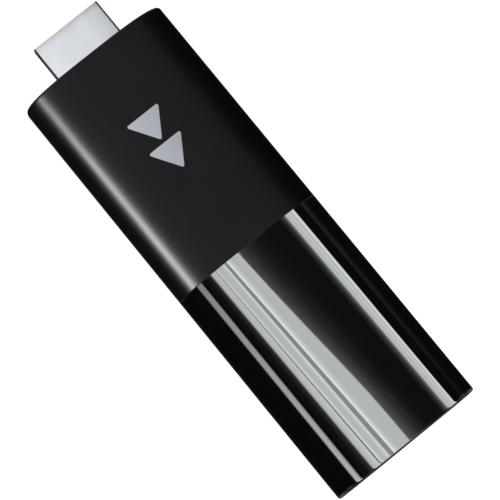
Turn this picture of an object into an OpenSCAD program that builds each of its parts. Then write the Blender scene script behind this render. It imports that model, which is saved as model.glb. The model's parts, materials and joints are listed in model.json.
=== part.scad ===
// Streaming media stick: two sleeves snapped together over a slide-in core,
// with a Type A video plug at +Y and a micro-B power socket at -Y.
// Millimetres. X runs across, Y along the stick towards the plug, Z out of the front face.
// The origin is under the middle of the whole stick, on the surface it lies on.

/* [Casing] */
// Width of the casing, side to side
body_w = 29.5; // [29.3:0.1:30.6]
// Length of the casing, without the plug
body_l = 85.55; // [85.3:0.05:88]
// Length of the matte sleeve, from the seam to the plug end
matte_l = 42.6; // [42:0.1:44]
// Thickness of the casing, back to front
body_t = 14.8; // [14.8:0.1:15.6]
// Half the width of the flat strip down the middle of the front and the back
flat_half = 2.5; // [2:0.1:3]
// Casing wall
wall = 1.3; // [1.2:0.05:1.35]
// Wall across each closed end
end_wall = 1.5; // [1.4:0.05:1.6]
// Rounding of the two ends' left and right corners
corner_round = 0.5; // [0.3:0.1:0.8]
// Rounding of the two ends' front and back edges
edge_round = 0.15; // [0.1:0.05:0.4]

/* [Plug] */
// Width of the plug shell
plug_w = 13.9; // [13.8:0.05:13.95]
// Height of the plug shell
plug_h = 4.45; // [4.4:0.05:4.5]
// How far the plug stands out of the casing
plug_out = 7.75; // [7.5:0.05:12]

/* [Core] */
// Thickness of the circuit board
board_t = 1.0; // [0.8:0.1:1]
// Width of the circuit board
board_w = 23.6; // [23:0.1:23.8]
// Width of the two heat spreader plates
spreader_w = 18; // [17:0.1:18.2]
// Height of the tallest chips
chip_t = 1.0; // [0.8:0.1:1]

/* [Hidden] */

over = 1;                          // how far a cutter reaches past a face
bite = 0.2;                        // how far two shapes of one piece run into each other

// Stations along the stick
total_l = body_l + plug_out;
y_tail = -total_l / 2;             // outer face of the tail
y_shoulder = y_tail + body_l;      // outer face round the plug
y_tip = total_l / 2;               // tip of the plug
y_seam = y_shoulder - matte_l;     // where the two sleeves meet
mid_z = body_t / 2;                // centre plane of the board, the plug and the socket

// Shape of the casing's section
side_power = 2.25;                 // squareness towards the sides
face_power = 3.15;                 // squareness towards the faces
profile_steps = 22;                // facets in each quarter
round_steps = 5;                   // facets in each end rounding

// Snap joint between the sleeves
spigot_l = 4;                      // reach of the inner lip beyond the seam
rim_l = 3;                         // thicker band behind the seam
spigot_gap = 0.06;                 // sliding gap round the lip
spigot_wall = 0.8;
spigot_inset = wall + spigot_gap + spigot_wall;
hook_y = 2.2;                      // from the seam to the crest of a hook
hook_w = 4;
hook_l = 1.6;
hook_h = 0.3;
hook_back = 0.4;                   // from the crest back to the steep side's foot
hook_gap = 0.2;                    // clearance round a hook in its pocket
pocket_l = hook_l + 0.5;
pocket_depth = 0.45;

// Rails that hold the board's edges
rail_x = 10.9;
rail_gap = 0.06;
rail_t = 0.8;
rail_end_gap = 0.5;                // between the two sleeves' rails and the lip

// Board
board_y0 = y_tail + end_wall + 0.3;
board_y1 = y_shoulder - 6.5;
board_top = board_t / 2;
screw_x = 7.4;
screw_y0 = y_tail + 14.8;
screw_y1 = board_y1 - 8.6;
screw_r = 0.78;
hole_r = 0.9;
boss_r = 1.6;
head_r = 1.45;
head_h = 0.5;

// Heights above the board's centre plane, the same on both sides
chip_top = board_top + chip_t;
pad_t = 0.4;
sheet = 0.2;                       // shield sheet metal
lid_top = chip_top + pad_t + sheet;
spreader_z0 = lid_top + 0.8;
spreader_t = 1;
spreader_pad_w = 13.5;
spreader_y0 = screw_y0 - 2.4;
spreader_y1 = screw_y1 + 2.6;
shield_y0 = screw_y0 + 16.6;
shield_y1 = screw_y1 - 2.9;
shield_w = 17.6;
shield_l = shield_y1 - shield_y0;
shield_mid = (shield_y0 + shield_y1) / 2;
processor_y = shield_mid + 3.6;
processor_w = 14;
memory_y = shield_mid - 8;
memory_w = 13.5;
memory_l = 8;
memory_pitch = 8.8;
flash_y = shield_mid + 9;
flash_w = 13;
flash_l = 11.5;
pad_margin = 0.5;                  // between a chip's edge and its pad's
rear_gap_y = shield_mid + 1.8;     // between the memory and the flash chip

// Small parts on the board
main_regulator = [5, 5, 0.9];
main_regulator_y = screw_y0 + 13;
core_regulator = [3, 3, 0.8];
crystal_size = [3.2, 2.5, 0.8];
corner_x = [4.6, -4.8];            // the core regulator and the crystal, in the shield's corners
corner_y = shield_y0 + 4;
surge_array = [2.5, 1, 0.5];
surge_x = [-4.5, -1.5, 1.5, 4.5];
surge_y = board_y1 - 6.1;
led_size = [1.6, 0.8, 1.1];
inductor_w = 4;
inductor_t = 1.2;
inductor_pitch = 5;
inductor_y = screw_y0 + 6.6;
terminal_t = 0.15;
radio_y = screw_y0 + 8.6;
radio_w = 12;
radio_t = 0.6;
radio_pad_r = 0.3;
radio_pad_pitch = 1.1;
can_margin = [0.8, 0.5];           // between the radio board's edges and its can
can_t = 1.1;
capacitor = [0.6, 1.1, 0.55];
capacitor_x = 8.4;                 // column each side of the radio
capacitor_pitch = [1.4, 1.5];
capacitor_gap = 8.1;               // from the processor's middle to the row beside it
resistor = [0.5, 1.0, 0.35];
resistor_x = 8.8;                  // column each side of the inductors
resistor_pitch = [1.2, 1.4];
resistor_gap = 8;                  // from the processor's middle to the rows at its far side
resistor_y = inductor_y + 2;
antenna_x = 7.6;                   // both antennas, either side of the power socket
antenna_rise = 2.1;
antenna_leg = [1.6, 0.7];          // pitch and width of an antenna's two legs
antenna_lip = 0.9;
fence_flange = 0.9;
fence_bar = 1.4;
lid_gap = 0.05;
lid_skirt = 0.9;
vent_r = 0.4;
vent_pitch = 2.6;
recess_l = 1.6;                    // cross recess in a screw's head
recess_w = 0.3;
recess_depth = 0.3;

// Plug
shell_t = 0.3;
plug_rear = y_shoulder - 6.2;
contact_w = 0.35;
contact_pitch = 1;
contact_front = y_tip - 1.2;
contact_rear = board_y1 - 2.5;
cavity_w = 11.2;
cavity_h = 1.9;
cavity_l = 6.9;
mouth_depth = 0.6;                 // from the shell's mouth to the insulator
contact_t = 0.18;
contact_slot = contact_w + 0.06;
latch_x = 2.6;                     // the two latch windows in the shell's back
latch_half = 0.9;
latch_y = [y_tip - 5.2, y_tip - 2.9];
ear_l = 1.6;
ear_t = 0.3;
ear_z = [-1.2, 1.7];
leg_z = [-0.6, 1.5];
leg_y = board_y1 - 2.9;
cover_l = 4.5;
pocket_x = 10;                     // lightening pockets in the bulkhead
pocket_half = [1.6, 2.4];
gasket_t = 0.5;
gasket_w = 1.3;
plug_gap = 0.1;                    // round the plug in the casing's opening
bulkhead_t = 3;
bulkhead_y1 = y_shoulder - end_wall - gasket_t;

// Power socket
usb_w = 7.5;
usb_h = 2.45;
usb_y0 = y_tail + 0.4;
usb_l = 5.6;
usb_gap = 0.2;
usb_wall = 0.25;
usb_notch_gap = 0.25;
usb_pitch = 0.65;
tab_l = 1.1;
tongue_half = 2.3;
tongue_z = [0.05, 0.6];
usb_contact_w = 0.3;
usb_contact_t = 0.14;
usb_tail_half = 1.8;

// Status light
light_x = 8.2;
light_z = 1.3;
light_r = 0.75;
light_gap = 0.03;
light_l = 2.6;
light_collar = 0.35;
light_collar_t = 0.22;

// Badge: two arrowheads in a row
badge_w = 7.2;
badge_l = 5.6;                     // length of one arrowhead
badge_gap = 0.5;
badge_cut = 0.45;                  // flat taken off each corner
badge_depth = 0.35;
badge_t = 0.3;
badge_clearance = 0.05;
badge_y = y_seam + 22.6;

// ---------- outlines ----------

// A quarter of the section, from the side to the edge of the flat strip
function quarter(a, b) = [for (i = [0 : profile_steps]) let (t = 90 * i / profile_steps)
    [flat_half + (a - flat_half) * pow(cos(t), 2 / side_power), b * pow(sin(t), 2 / face_power)]];

function flipped(points, sx, sy) = [for (p = points) [sx * p[0], sy * p[1]]];
function backwards(points) = [for (i = [len(points) - 1 : -1 : 0]) points[i]];
function some_of(points, first, last) = [for (i = [first : last]) points[i]];

// The casing's section, taken in from the outer surface by inset
function section(inset) = let (q = quarter(body_w / 2 - inset, body_t / 2 - inset))
    concat(q, backwards(flipped(q, -1, 1)), some_of(flipped(q, -1, -1), 1, profile_steps),
        some_of(backwards(flipped(q, 1, -1)), 0, profile_steps - 1));

// A block 0 to l long and 2 * half wide, with both corners rounded at the end at 0
function rounded_end(l, half, r) = concat(
    [for (i = [0 : round_steps]) let (t = 180 + 90 * i / round_steps) [r + r * cos(t), -half + r + r * sin(t)]],
    [[l, -half], [l, half]],
    [for (i = [0 : round_steps]) let (t = 90 + 90 * i / round_steps) [r + r * cos(t), half - r + r * sin(t)]]);

// A box outline w by h with its four corners cut by c at the top and d, e at the bottom
function socket_outline(w, h, c, d, e) = [
    [w / 2 - c, h / 2], [w / 2, h / 2 - c], [w / 2, -h / 2 + e], [w / 2 - d, -h / 2],
    [-w / 2 + d, -h / 2], [-w / 2, -h / 2 + e], [-w / 2, h / 2 - c], [-w / 2 + c, h / 2]];

// The plug is narrower towards the back; grow moves every side out
function plug_outline(grow) = socket_outline(plug_w + 2 * grow, plug_h + 2 * grow,
    0.35, 1.25 + 0.4 * grow, 1.55 + 0.4 * grow);

function usb_outline(grow) = socket_outline(usb_w + 2 * grow, usb_h + 2 * grow,
    0.3, 0.8 + 0.4 * grow, 0.8 + 0.4 * grow);

// ---------- helpers ----------

// Extrudes an (x, z) outline along Y between two stations, about the centre plane
module along_y(y0, y1) {
    translate([0, y1, mid_z]) rotate([90, 0, 0]) linear_extrude(y1 - y0) children();
}

// Extrudes a (y, z) outline across X over a width, about x = x0 and the centre plane
module across_x(x0, w) {
    translate([x0 - w / 2, 0, mid_z]) rotate([90, 0, 90]) linear_extrude(w) children();
}

// A box given by its ranges, with z measured from the centre plane
module slab(x, y, z) {
    translate([x[0], y[0], mid_z + z[0]]) cube([x[1] - x[0], y[1] - y[0], z[1] - z[0]]);
}

// Leaves children in front of the centre plane (side 1) or mirrors them to the back (side -1)
module on_side(side) {
    translate([0, 0, mid_z]) mirror([0, 0, side > 0 ? 0 : 1]) translate([0, 0, -mid_z]) children();
}

// A component w by l by t on the front (side 1) or the back (side -1) of the board
module component(x, y, w, l, t, side = 1, lift = 0) {
    z = board_top + lift;
    on_side(side) slab([x - w / 2, x + w / 2], [y - l / 2, y + l / 2], [z, z + t]);
}

// A component whose three sizes are given together
module block_at(x, y, size, side = 1) {
    component(x, y, size[0], size[1], size[2], side);
}

// Puts children at the four core screws
module at_screws() {
    for (x = [-screw_x, screw_x], y = [screw_y0, screw_y1])
        translate([x, y, mid_z]) children();
}

// ---------- casing ----------

// Half of the casing's outer body: closed and rounded at local y = 0, open at y = l
module half_body(l) {
    intersection() {
        translate([0, l, 0]) rotate([90, 0, 0]) linear_extrude(l) polygon(section(0));
        translate([-body_w, 0, 0]) rotate([90, 0, 90]) linear_extrude(2 * body_w)
            polygon(rounded_end(l, body_t / 2, edge_round));
        translate([0, 0, -body_t]) mirror([1, -1, 0]) linear_extrude(2 * body_t)
            polygon(rounded_end(l, body_w / 2, corner_round));
    }
}

// Two ribs a side that hold the board's edges between two stations
module rails(y0, y1) {
    reach = body_w / 2 - wall + 2 * bite;
    z0 = board_top + rail_gap;
    for (s = [0, 1], side = [-1, 1])
        mirror([s, 0, 0]) on_side(side) slab([rail_x, reach], [y0, y1], [z0, z0 + rail_t]);
}

// A ramp on the lip at y = 0: the steep side faces the seam
module hook() {
    crest = [-0.2, 0.1];
    translate([-hook_w / 2, 0, 0]) rotate([90, 0, 90]) linear_extrude(hook_w)
        polygon([[-hook_back, -bite], [crest[0], hook_h], [crest[1], hook_h], [hook_l - hook_back, -bite]]);
}

// Puts children on the lip's surface, raised by lift: front, back and both sides
module on_lip(lift) {
    a = body_w / 2 - wall + lift;
    b = body_t / 2 - wall + lift;
    translate([0, y_seam + hook_y, mid_z]) {
        translate([0, 0, b]) children();
        translate([0, 0, -b]) rotate([0, 180, 0]) children();
        translate([a, 0, 0]) rotate([0, 90, 0]) children();
        translate([-a, 0, 0]) rotate([0, -90, 0]) children();
    }
}

module matte_sleeve() {
    color([0.13, 0.13, 0.13]) difference() {
        union() {
            difference() {
                translate([0, y_shoulder, mid_z]) rotate([0, 0, 180]) half_body(y_shoulder - y_seam);
                along_y(y_seam - over, y_shoulder - end_wall) polygon(section(wall));
            }
            rails(y_seam + spigot_l + rail_end_gap, bulkhead_y1 - bulkhead_t - ear_t);
        }
        // opening for the plug
        along_y(y_shoulder - end_wall - over, y_shoulder + over) polygon(plug_outline(plug_gap));
        // pockets for the four hooks
        on_lip(0) translate([0, hook_gap, 0])
            cube([hook_w + 2 * hook_gap, pocket_l, 2 * pocket_depth], center = true);
        // seat for the badge
        translate([0, badge_y, body_t - badge_depth]) linear_extrude(badge_depth + over)
            badge_outline(badge_clearance);
    }
}

module gloss_sleeve() {
    color([0.02, 0.02, 0.02]) difference() {
        union() {
            difference() {
                translate([0, y_tail, mid_z]) half_body(y_seam - y_tail);
                along_y(y_tail + end_wall, y_seam + over) polygon(section(wall));
            }
            // rim and lip that enter the other sleeve
            difference() {
                union() {
                    along_y(y_seam - rim_l, y_seam - bite) polygon(section(wall - bite));
                    along_y(y_seam - over, y_seam + spigot_l) polygon(section(wall + spigot_gap));
                    on_lip(-spigot_gap) hook();
                }
                along_y(y_seam - rim_l - over, y_seam + spigot_l + over) polygon(section(spigot_inset));
            }
            rails(y_tail + end_wall - bite, y_seam - rim_l + bite);
        }
        // opening for the power socket
        along_y(y_tail - over, y_tail + end_wall + over) polygon(usb_outline(usb_gap));
        // hole for the light pipe
        translate([light_x, y_tail - over, mid_z + light_z]) rotate([-90, 0, 0])
            cylinder(r = light_r + light_gap, h = end_wall + 2 * over, $fn = 32);
    }
}

// A point at a distance from corner a on the way to corner b
function towards(a, b, distance) = a + distance * (b - a) / norm(b - a);

// A triangle w wide and l long that points to -Y, its corners cut off
module arrowhead(w, l) {
    corner = [[0, -l / 2], [w / 2, l / 2], [-w / 2, l / 2]];
    polygon([for (i = [0 : 2], k = [2, 1]) towards(corner[i], corner[(i + k) % 3], badge_cut)]);
}

// Both arrowheads, each side moved out by about grow
module badge_outline(grow) {
    for (s = [-1, 1])
        translate([0, s * (badge_l + badge_gap) / 2]) arrowhead(badge_w + 3 * grow, badge_l + 3 * grow);
}

module badge_inlay() {
    color([0.75, 0.78, 0.82]) translate([0, badge_y, body_t - badge_depth])
        linear_extrude(badge_t) badge_outline(0);
}

// ---------- video plug ----------

module plug_shell() {
    ear_y = bulkhead_y1 - bulkhead_t - 0.35;
    color([0.78, 0.79, 0.8]) difference() {
        union() {
            along_y(plug_rear, y_tip) polygon(plug_outline(0));
            // ears that bear on the bulkhead
            slab([-plug_w / 2 - ear_l, plug_w / 2 + ear_l], [ear_y, ear_y + ear_t], ear_z);
            // legs that straddle the board
            for (x = [-plug_w / 2 + shell_t, plug_w / 2])
                slab([x - shell_t, x], [leg_y, plug_rear + over], leg_z);
        }
        along_y(leg_y - over, y_tip + over) polygon(plug_outline(-shell_t));
        latch_windows(-1);
    }
}

// The two latch windows on the plug's back, cut up to a height from the centre plane
module latch_windows(top) {
    for (x = [-latch_x, latch_x])
        slab([x - latch_half, x + latch_half], latch_y, [-plug_h, top]);
}

module plug_contact_slots(side) {
    n = side > 0 ? 10 : 9;
    for (i = [0 : n - 1])
        translate([(i - (n - 1) / 2) * contact_pitch, 0, 0]) children();
}

module plug_insulator() {
    y1 = y_tip - mouth_depth;
    slot_x = [-contact_slot / 2, contact_slot / 2];
    slot_z = [board_top - 0.04, cavity_h / 2 + contact_t + 0.04];
    color([0.06, 0.06, 0.06]) difference() {
        along_y(plug_rear - 0.1, y1) polygon(plug_outline(-shell_t - 0.03));
        slab([-cavity_w / 2, cavity_w / 2], [y1 - cavity_l, y_tip], [-cavity_h / 2, cavity_h / 2]);
        // slots that hold the contacts
        for (side = [-1, 1])
            on_side(side) plug_contact_slots(side) slab(slot_x, [plug_rear - over, y_tip], slot_z);
        // the insulator is set back a little behind the latch windows
        latch_windows(-plug_h / 2 + 2 * shell_t);
    }
}

// One contact: a spring arm along the cavity wall and a tail on the board
module plug_contact(side) {
    z0 = board_top;
    z1 = cavity_h / 2;
    step = plug_rear + 0.9;            // where the tail turns up into the cavity
    bend = contact_front - 1.2;        // lowest point of the spring arm
    dip = 0.22;
    on_side(side) across_x(0, contact_w) polygon([
        [contact_rear, z0], [step, z0], [step + 0.5, z1 - 0.08], [bend, z1 - dip],
        [contact_front, z1], [contact_front, z1 + contact_t], [bend, z1 - dip + contact_t],
        [step + 0.3, z1 - 0.08 + contact_t], [step - 0.2, z0 + contact_t], [contact_rear, z0 + contact_t]]);
}

module plug_contacts_upper() {
    color([0.86, 0.68, 0.3]) plug_contact_slots(1) plug_contact(1);
}

module plug_contacts_lower() {
    color([0.86, 0.68, 0.3]) plug_contact_slots(-1) plug_contact(-1);
}

// Folded covers over the contact tails, one on each side of the board
module plug_tail_covers() {
    x = plug_w / 2 + 0.9;
    y = [board_y1 - 0.1 - cover_l, board_y1 - 0.1];
    top = plug_h / 2 - 0.1;
    color([0.7, 0.71, 0.72]) for (side = [-1, 1]) on_side(side) difference() {
        slab([-x, x], y, [board_top, top]);
        slab([-x + sheet, x - sheet], [y[0] + sheet, y[1] + over], [0, top - sheet]);
    }
}

module plug_bulkhead() {
    y0 = bulkhead_y1 - bulkhead_t;
    floor_t = 1;
    color([0.1, 0.1, 0.1]) difference() {
        along_y(y0, bulkhead_y1) polygon(section(wall + 0.12));
        along_y(y0 - over, bulkhead_y1 + over) polygon(plug_outline(0.04));
        // lightening pockets either side of the plug
        for (x = [-pocket_x, pocket_x])
            slab([x - pocket_half[0], x + pocket_half[0]], [y0 + floor_t, bulkhead_y1 + over],
                [-pocket_half[1], pocket_half[1]]);
    }
}

module plug_gasket() {
    y1 = y_shoulder - end_wall;
    color([0.2, 0.2, 0.21]) difference() {
        along_y(y1 - gasket_t, y1) polygon(plug_outline(gasket_w));
        along_y(y1 - gasket_t - over, y1 + over) polygon(plug_outline(plug_gap + 0.02));
    }
}

// ---------- circuit board ----------

module main_board() {
    notch_w = usb_w + 2 * usb_notch_gap;
    slot_half = 0.3;
    color([0.05, 0.2, 0.14]) difference() {
        slab([-board_w / 2, board_w / 2], [board_y0, board_y1], [-board_top, board_top]);
        // notch for the power socket
        slab([-notch_w / 2, notch_w / 2], [board_y0 - over, usb_y0 + usb_l + 0.4], [-over, over]);
        // slots for the plug shell's legs
        for (x = [-1, 1] * (plug_w - shell_t) / 2)
            slab([x - slot_half, x + slot_half], [leg_y - 0.2, board_y1 + over], [-over, over]);
        at_screws() cylinder(r = hole_r, h = board_t + 2 * over, center = true, $fn = 32);
    }
}

module processor() {
    color([0.08, 0.08, 0.09]) component(0, processor_y, processor_w, processor_w, chip_t);
}

module power_manager() {
    color([0.09, 0.09, 0.1]) {
        block_at(0, main_regulator_y, main_regulator, -1);
        block_at(corner_x[0], corner_y, core_regulator);
    }
}

module memory_chips() {
    color([0.07, 0.07, 0.08]) for (s = [-0.5, 0.5])
        component(0, memory_y + s * memory_pitch, memory_w, memory_l, chip_t, -1);
}

module flash_chip() {
    color([0.07, 0.07, 0.08]) component(0, flash_y, flash_w, flash_l, chip_t, -1);
}

module crystal() {
    color([0.75, 0.74, 0.7]) block_at(corner_x[1], corner_y, crystal_size);
}

module radio_board() {
    color([0.06, 0.22, 0.16]) difference() {
        component(0, radio_y, radio_w, radio_w, radio_t);
        // half-round plated pads along two edges
        for (s = [-1, 1], i = [-4 : 4])
            translate([s * radio_w / 2, radio_y + i * radio_pad_pitch, mid_z])
                cylinder(r = radio_pad_r, h = board_top + radio_t + over, $fn = 24);
    }
}

module radio_can() {
    color([0.74, 0.75, 0.76]) difference() {
        component(0, radio_y, radio_w - 2 * can_margin[0], radio_w - 2 * can_margin[1], can_t, 1, radio_t);
        component(0, radio_y, radio_w - 2 * can_margin[0] - 2 * sheet, radio_w - 2 * can_margin[1] - 2 * sheet,
            can_t, 1, radio_t - sheet);
    }
}

module power_inductors() {
    color([0.3, 0.3, 0.32]) for (i = [-1 : 1])
        difference() {
            component(i * inductor_pitch, inductor_y, inductor_w, inductor_w, inductor_t, -1);
            // recess between the two terminals
            component(i * inductor_pitch, inductor_y, 0.6 * inductor_w, inductor_w + over, terminal_t, -1);
        }
}

// Ceramic capacitors: a column each side of the radio, a row beside the processor and a row at the back
module ceramic_capacitors() {
    color([0.62, 0.5, 0.36]) {
        for (s = [-1, 1], i = [-3.5 : 3.5])
            block_at(s * capacitor_x, radio_y + i * capacitor_pitch[1], capacitor);
        for (i = [-4 : 4]) {
            x = i * capacitor_pitch[0];
            block_at(x, processor_y - capacitor_gap, capacitor);
            block_at(x, rear_gap_y, capacitor, -1);
        }
    }
}

// Chip resistors: two rows at the processor's far side and a column each side of the inductors
module chip_resistors() {
    color([0.1, 0.1, 0.11]) {
        for (i = [-4.5 : 4.5])
            block_at(i * resistor_pitch[0], processor_y + resistor_gap, resistor);
        for (s = [-1, 1], i = [-3 : 3])
            block_at(s * resistor_x, resistor_y + i * resistor_pitch[1], resistor, -1);
    }
}

module surge_arrays() {
    color([0.09, 0.09, 0.1]) for (side = [-1, 1], x = surge_x)
        block_at(x, surge_y, surge_array, side);
}

module status_led() {
    color([0.95, 0.95, 0.9]) block_at(light_x, board_y0 + 1.6, led_size);
}

module light_pipe() {
    color([0.9, 0.93, 0.95, 0.6]) translate([light_x, y_tail + 0.02, mid_z + light_z]) rotate([-90, 0, 0]) {
        cylinder(r = light_r, h = light_l, $fn = 32);
        translate([0, 0, end_wall]) cylinder(r = light_r + light_collar, h = light_collar_t, $fn = 32);
    }
}

// Stamped antenna: a raised plate on two legs, with a bent tip
module stamped_antenna(x, y, w, l) {
    top = board_top + antenna_rise + sheet;
    component(x, y, w, l, sheet, 1, antenna_rise);
    for (i = [0, 1]) {
        leg_x = x - w / 2 + i * antenna_leg[0];
        slab([leg_x, leg_x + antenna_leg[1]], [y - l / 2, y - l / 2 + sheet], [board_top, top]);
    }
    slab([x + w / 2 - sheet, x + w / 2], [y - l / 2, y + l / 2], [top - sheet - antenna_lip, top]);
}

module wifi_antenna() {
    color([0.8, 0.7, 0.45]) stamped_antenna(-antenna_x, board_y0 + 5.6, 5.6, 6.4);
}

module bluetooth_antenna() {
    color([0.8, 0.7, 0.45]) stamped_antenna(antenna_x, board_y0 + 7, 5.2, 3.8);
}

// ---------- power socket ----------

module usb_shell() {
    color([0.75, 0.76, 0.77]) difference() {
        union() {
            along_y(usb_y0, usb_y0 + usb_l) polygon(usb_outline(0));
            // tabs soldered to the board
            for (y = [usb_y0 + 2.2, usb_y0 + 4.2])
                slab([-usb_w / 2 - tab_l, usb_w / 2 + tab_l], [y, y + tab_l],
                    [board_top, board_top + usb_wall]);
        }
        along_y(usb_y0 - over, usb_y0 + usb_l - usb_wall) polygon(usb_outline(-usb_wall));
        // slot for the contact tails
        slab([-usb_tail_half, usb_tail_half], [usb_y0 + usb_l - over, usb_y0 + usb_l + over],
            [-board_top, board_top + usb_wall]);
    }
}

module usb_insulator() {
    y1 = usb_y0 + usb_l - usb_wall - 0.02;
    channel_half = usb_contact_w / 2 + 0.02;
    color([0.05, 0.05, 0.05]) difference() {
        union() {
            along_y(y1 - 1.1, y1) polygon(usb_outline(-usb_wall - 0.03));
            slab([-tongue_half, tongue_half], [usb_y0 + 0.9, y1 - 0.5], tongue_z);
        }
        // channels for the contacts
        for (i = [-2 : 2])
            slab([i * usb_pitch - channel_half, i * usb_pitch + channel_half], [usb_y0 + 1.2, y1 + over],
                [-0.1, usb_contact_t + 0.03]);
    }
}

module usb_contacts() {
    y0 = usb_y0 + 1.3;
    y1 = usb_y0 + usb_l;
    t = usb_contact_t;
    color([0.86, 0.68, 0.3]) for (i = [-2 : 2])
        across_x(i * usb_pitch, usb_contact_w) polygon([
            [y0, 0], [y1 + 0.1, 0], [y1 + 0.3, board_top], [y1 + 1.3, board_top],
            [y1 + 1.3, board_top + t], [y1 + 0.2, board_top + t], [y1, t], [y0, t]]);
}

// ---------- shields and heat spreaders ----------

// A fence soldered round the chips, with an inward flange and a cross bar at bar_y
module shield_fence(side, bar_y) {
    h = chip_t + 0.3;
    y0 = shield_y0 + fence_flange;
    y1 = shield_y1 - fence_flange;
    difference() {
        component(0, shield_mid, shield_w, shield_l, h, side);
        component(0, shield_mid, shield_w - 2 * sheet, shield_l - 2 * sheet, h - sheet, side, -0.01);
        for (y = [[y0, bar_y - fence_bar / 2], [bar_y + fence_bar / 2, y1]])
            component(0, (y[0] + y[1]) / 2, shield_w - 2 * fence_flange, y[1] - y[0], h + over, side);
    }
}

module shield_fence_front() {
    color([0.72, 0.73, 0.74]) shield_fence(1, shield_mid - 8.5);
}

module shield_fence_rear() {
    color([0.72, 0.73, 0.74]) shield_fence(-1, rear_gap_y);
}

// A lid pressed over the fence, with a row of vent holes along each long edge
module shield_lid(side) {
    w = shield_w + 2 * (lid_gap + sheet);
    l = shield_l + 2 * (lid_gap + sheet);
    z_lid = chip_top + pad_t - board_top;
    difference() {
        component(0, shield_mid, w, l, lid_skirt + sheet, side, z_lid - lid_skirt);
        component(0, shield_mid, w - 2 * sheet, l - 2 * sheet, lid_skirt + over, side, z_lid - lid_skirt - over);
        for (s = [-1, 1], i = [-5 : 5])
            translate([s * (shield_w / 2 - 1.1), shield_mid + i * vent_pitch, mid_z])
                cylinder(r = vent_r, h = body_t, center = true, $fn = 24);
    }
}

module shield_lid_front() {
    color([0.8, 0.81, 0.82]) shield_lid(1);
}

module shield_lid_rear() {
    color([0.8, 0.81, 0.82]) shield_lid(-1);
}

// A soft pad on top of a chip w by l
module chip_pad(y, w, l, side) {
    component(0, y, w - 2 * pad_margin, l - 2 * pad_margin, pad_t, side, chip_t);
}

module processor_pad() {
    color([0.55, 0.62, 0.72]) chip_pad(processor_y, processor_w, processor_w, 1);
}

module memory_pads() {
    color([0.55, 0.62, 0.72]) {
        for (s = [-0.5, 0.5])
            chip_pad(memory_y + s * memory_pitch, memory_w, memory_l, -1);
        chip_pad(flash_y, flash_w, flash_l, -1);
    }
}

module spreader_pad(side) {
    component(0, shield_mid, spreader_pad_w, shield_l - 4, spreader_z0 - lid_top, side, lid_top - board_top);
}

module spreader_pad_front() {
    color([0.6, 0.66, 0.74]) spreader_pad(1);
}

module spreader_pad_rear() {
    color([0.6, 0.66, 0.74]) spreader_pad(-1);
}

// A plate with four bosses that stand on the board, bored from the board's side
module spreader(side, bore_r, bore_l) {
    difference() {
        union() {
            component(0, (spreader_y0 + spreader_y1) / 2, spreader_w, spreader_y1 - spreader_y0,
                spreader_t, side, spreader_z0 - board_top);
            on_side(side) at_screws() translate([0, 0, board_top])
                cylinder(r = boss_r, h = spreader_z0 - board_top + 0.2, $fn = 40);
        }
        on_side(side) at_screws() cylinder(r = bore_r, h = bore_l, $fn = 32);
    }
}

module spreader_front() {
    color([0.77, 0.78, 0.8]) spreader(1, screw_r + 0.02, spreader_z0);
}

module spreader_rear() {
    color([0.77, 0.78, 0.8]) spreader(-1, hole_r, spreader_z0 + spreader_t + 1);
}

// Four screws from the back plate through the board into the front plate's bosses
module core_screws() {
    under_head = spreader_z0 + spreader_t;
    color([0.35, 0.35, 0.36]) at_screws() difference() {
        union() {
            translate([0, 0, -under_head - head_h]) cylinder(r = head_r, h = head_h, $fn = 40);
            translate([0, 0, -under_head]) cylinder(r = screw_r, h = under_head + spreader_z0 - 0.4, $fn = 32);
        }
        // cross recess
        for (a = [0, 90])
            rotate([0, 0, a]) translate([-recess_l / 2, -recess_w / 2, -under_head - head_h - over])
                cube([recess_l, recess_w, recess_depth + over]);
    }
}

matte_sleeve();
gloss_sleeve();
badge_inlay();
plug_shell();
plug_insulator();
plug_contacts_upper();
plug_contacts_lower();
plug_tail_covers();
plug_bulkhead();
plug_gasket();
main_board();
usb_shell();
usb_insulator();
usb_contacts();
processor();
power_manager();
memory_chips();
flash_chip();
crystal();
radio_board();
radio_can();
power_inductors();
ceramic_capacitors();
chip_resistors();
surge_arrays();
status_led();
light_pipe();
shield_fence_front();
shield_lid_front();
shield_fence_rear();
shield_lid_rear();
processor_pad();
memory_pads();
spreader_pad_front();
spreader_pad_rear();
spreader_front();
spreader_rear();
core_screws();
wifi_antenna();
bluetooth_antenna();
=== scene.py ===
import json
import math

import bmesh
import bpy
from mathutils import Matrix, Vector


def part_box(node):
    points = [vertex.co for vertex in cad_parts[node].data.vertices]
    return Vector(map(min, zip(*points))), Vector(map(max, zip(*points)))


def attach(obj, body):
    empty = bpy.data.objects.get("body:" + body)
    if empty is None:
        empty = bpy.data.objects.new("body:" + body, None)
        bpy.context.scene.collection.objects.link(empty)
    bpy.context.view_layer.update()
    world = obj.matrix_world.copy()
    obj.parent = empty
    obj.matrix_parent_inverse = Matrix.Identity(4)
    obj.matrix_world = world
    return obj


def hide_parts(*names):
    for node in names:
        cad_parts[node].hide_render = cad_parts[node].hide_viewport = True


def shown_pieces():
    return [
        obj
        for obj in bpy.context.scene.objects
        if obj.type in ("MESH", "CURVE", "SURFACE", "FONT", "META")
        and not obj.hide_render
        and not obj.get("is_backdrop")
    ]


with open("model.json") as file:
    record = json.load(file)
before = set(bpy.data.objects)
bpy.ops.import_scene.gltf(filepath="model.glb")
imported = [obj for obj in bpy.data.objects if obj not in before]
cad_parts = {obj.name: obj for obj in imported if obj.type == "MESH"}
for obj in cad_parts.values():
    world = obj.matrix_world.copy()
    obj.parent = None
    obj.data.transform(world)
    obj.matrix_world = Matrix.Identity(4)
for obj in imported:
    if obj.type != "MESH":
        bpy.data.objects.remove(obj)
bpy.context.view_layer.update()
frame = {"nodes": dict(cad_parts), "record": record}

MM = 0.001


# ---------- where things are, from the CAD, in millimetres ----------

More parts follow.
